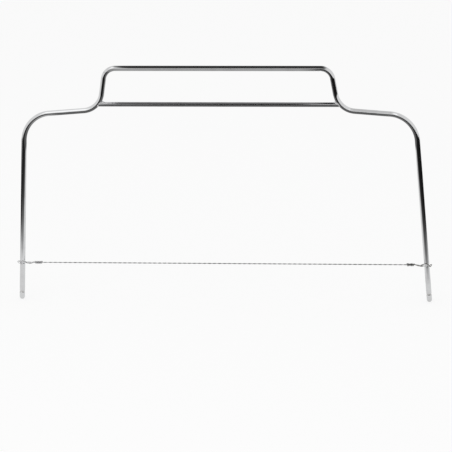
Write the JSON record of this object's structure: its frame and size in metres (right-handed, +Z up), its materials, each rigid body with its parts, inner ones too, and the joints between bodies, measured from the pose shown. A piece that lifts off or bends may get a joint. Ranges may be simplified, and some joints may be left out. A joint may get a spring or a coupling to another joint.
{
  "type": "cake leveler",
  "caption": "Bent chromed rod frame with a grip and crossbar, holding a thin twisted cutting wire between its splayed legs.",
  "frame": {"origin": "middle of the frame, on the level of the leg tips' lowest points", "axes": "+X across the frame from left leg to right leg, +Z up from the tips to the top grip bar, +Y away from the person who looks at the front"},
  "size_m": [0.3152, 0.0058, 0.1805],
  "materials": {
    "frame_chrome": "bright chrome plate on bent steel rod",
    "crossbar_chrome": "bright chrome plate on straight steel rod",
    "weld_chrome": "weld bead under the chrome plate, slightly duller",
    "wire_steel": "twisted stainless wire, plain drawn finish"
  },
  "bodies": {
    "frame": {"frame_rod": "frame_chrome", "handle_crossbar": "crossbar_chrome", "left_weld": "weld_chrome", "right_weld": "weld_chrome"},
    "wire": {"cutting_wire": "wire_steel", "left_wire_eye": "wire_steel", "right_wire_eye": "wire_steel"}
  },
  "joints": [
    {"name": "wire_height", "type": "slide", "parent": "frame", "child": "wire", "axis": [0, 0, 1], "range_m": [-0.0225, 0]}
  ]
}
